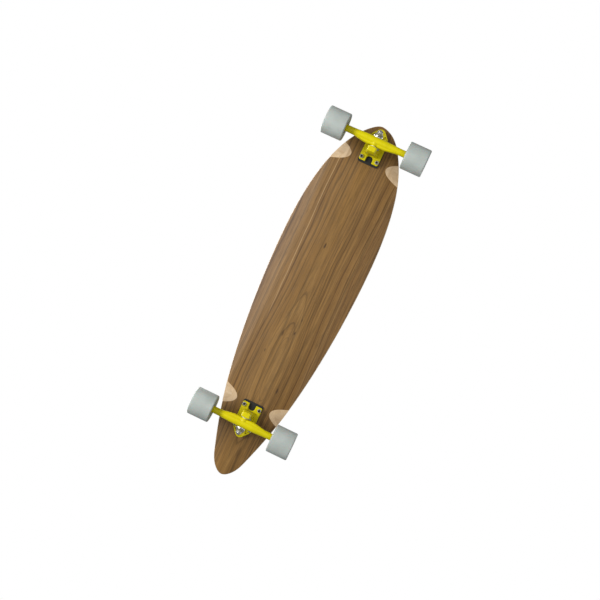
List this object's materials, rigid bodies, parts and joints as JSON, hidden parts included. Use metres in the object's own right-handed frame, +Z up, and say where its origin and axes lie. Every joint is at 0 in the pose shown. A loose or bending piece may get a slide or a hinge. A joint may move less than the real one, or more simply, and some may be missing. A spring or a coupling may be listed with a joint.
{
  "type": "longboard skateboard",
  "caption": "Pintail longboard skateboard with a walnut-faced laminated deck, sprung reverse-kingpin trucks and soft urethane wheels on ball bearings.",
  "frame": {"origin": "on the ground under the middle of the deck, between the wheels", "axes": "+X to the nose, +Y to the left of a rider facing the nose, +Z up"},
  "size_m": [0.9555, 0.2668, 0.1256],
  "materials": {
    "walnut_veneer": "satin oiled walnut veneer",
    "maple": "sanded maple",
    "grip_tape": "coarse grit",
    "riser_rubber": "matt rubber",
    "yellow_paint": "yellow powder coat over cast aluminium",
    "zinc_steel": "zinc plated steel",
    "black_steel": "black oxide steel",
    "bearing_steel": "ground steel",
    "bearing_shield": "matt rubber seal",
    "bushing_urethane": "translucent urethane",
    "pivot_urethane": "white urethane",
    "wheel_urethane": "satin poured urethane",
    "wheel_core": "moulded nylon"
  },
  "bodies": {
    "board": {"bottom_veneer": "walnut_veneer", "maple_ply_1": "maple", "maple_ply_2": "maple", "maple_ply_3": "maple", "maple_ply_4": "maple", "maple_ply_5": "maple", "top_veneer": "maple", "grip_tape": "grip_tape", "front_riser_pad": "riser_rubber", "front_baseplate": "yellow_paint", "front_kingpin": "zinc_steel", "front_kingpin_nut": "zinc_steel", "front_pivot_cup": "pivot_urethane", "front_boardside_bushing": "bushing_urethane", "front_roadside_bushing": "bushing_urethane", "front_bushing_washers": "zinc_steel", "front_mounting_bolts": "black_steel", "front_mounting_nuts": "zinc_steel", "rear_riser_pad": "riser_rubber", "rear_baseplate": "yellow_paint", "rear_kingpin": "zinc_steel", "rear_kingpin_nut": "zinc_steel", "rear_pivot_cup": "pivot_urethane", "rear_boardside_bushing": "bushing_urethane", "rear_roadside_bushing": "bushing_urethane", "rear_bushing_washers": "zinc_steel", "rear_mounting_bolts": "black_steel", "rear_mounting_nuts": "zinc_steel"},
    "front_truck_hanger": {"front_hanger": "yellow_paint", "front_axle": "zinc_steel", "front_speed_washers": "zinc_steel", "front_axle_nuts": "zinc_steel", "front_bearing_inner_races": "bearing_steel", "front_bearing_spacers": "bearing_steel", "front_bearing_balls": "bearing_steel"},
    "rear_truck_hanger": {"rear_hanger": "yellow_paint", "rear_axle": "zinc_steel", "rear_speed_washers": "zinc_steel", "rear_axle_nuts": "zinc_steel", "rear_bearing_inner_races": "bearing_steel", "rear_bearing_spacers": "bearing_steel", "rear_bearing_balls": "bearing_steel"},
    "front_left_wheel": {"front_left_wheel_tyre": "wheel_urethane", "front_left_wheel_core": "wheel_core", "front_left_bearing_outer_races": "bearing_steel", "front_left_bearing_shields": "bearing_shield"},
    "front_right_wheel": {"front_right_wheel_tyre": "wheel_urethane", "front_right_wheel_core": "wheel_core", "front_right_bearing_outer_races": "bearing_steel", "front_right_bearing_shields": "bearing_shield"},
    "rear_left_wheel": {"rear_left_wheel_tyre": "wheel_urethane", "rear_left_wheel_core": "wheel_core", "rear_left_bearing_outer_races": "bearing_steel", "rear_left_bearing_shields": "bearing_shield"},
    "rear_right_wheel": {"rear_right_wheel_tyre": "wheel_urethane", "rear_right_wheel_core": "wheel_core", "rear_right_bearing_outer_races": "bearing_steel", "rear_right_bearing_shields": "bearing_shield"}
  },
  "joints": [
    {"name": "front_truck_lean", "type": "hinge", "parent": "board", "child": "front_truck_hanger", "pos_m": [0.43032, 0, 0.06183], "axis": [0.6691, 0, 0.7431], "range_deg": [-18, 18], "stiffness_Nm_per_rad": 90, "deforming": ["front_boardside_bushing", "front_roadside_bushing"]},
    {"name": "front_left_wheel_spin", "type": "hinge", "parent": "front_truck_hanger", "child": "front_left_wheel", "pos_m": [0.425, 0.103, 0.035], "axis": [0, 1, 0], "continuous": true},
    {"name": "front_right_wheel_spin", "type": "hinge", "parent": "front_truck_hanger", "child": "front_right_wheel", "pos_m": [0.425, -0.103, 0.035], "axis": [0, 1, 0], "continuous": true},
    {"name": "rear_truck_lean", "type": "hinge", "parent": "board", "child": "rear_truck_hanger", "pos_m": [-0.33532, 0, 0.06183], "axis": [-0.6691, 0, 0.7431], "range_deg": [-18, 18], "stiffness_Nm_per_rad": 90, "deforming": ["rear_boardside_bushing", "rear_roadside_bushing"]},
    {"name": "rear_left_wheel_spin", "type": "hinge", "parent": "rear_truck_hanger", "child": "rear_left_wheel", "pos_m": [-0.33, 0.103, 0.035], "axis": [0, 1, 0], "continuous": true},
    {"name": "rear_right_wheel_spin", "type": "hinge", "parent": "rear_truck_hanger", "child": "rear_right_wheel", "pos_m": [-0.33, -0.103, 0.035], "axis": [0, 1, 0], "continuous": true}
  ]
}
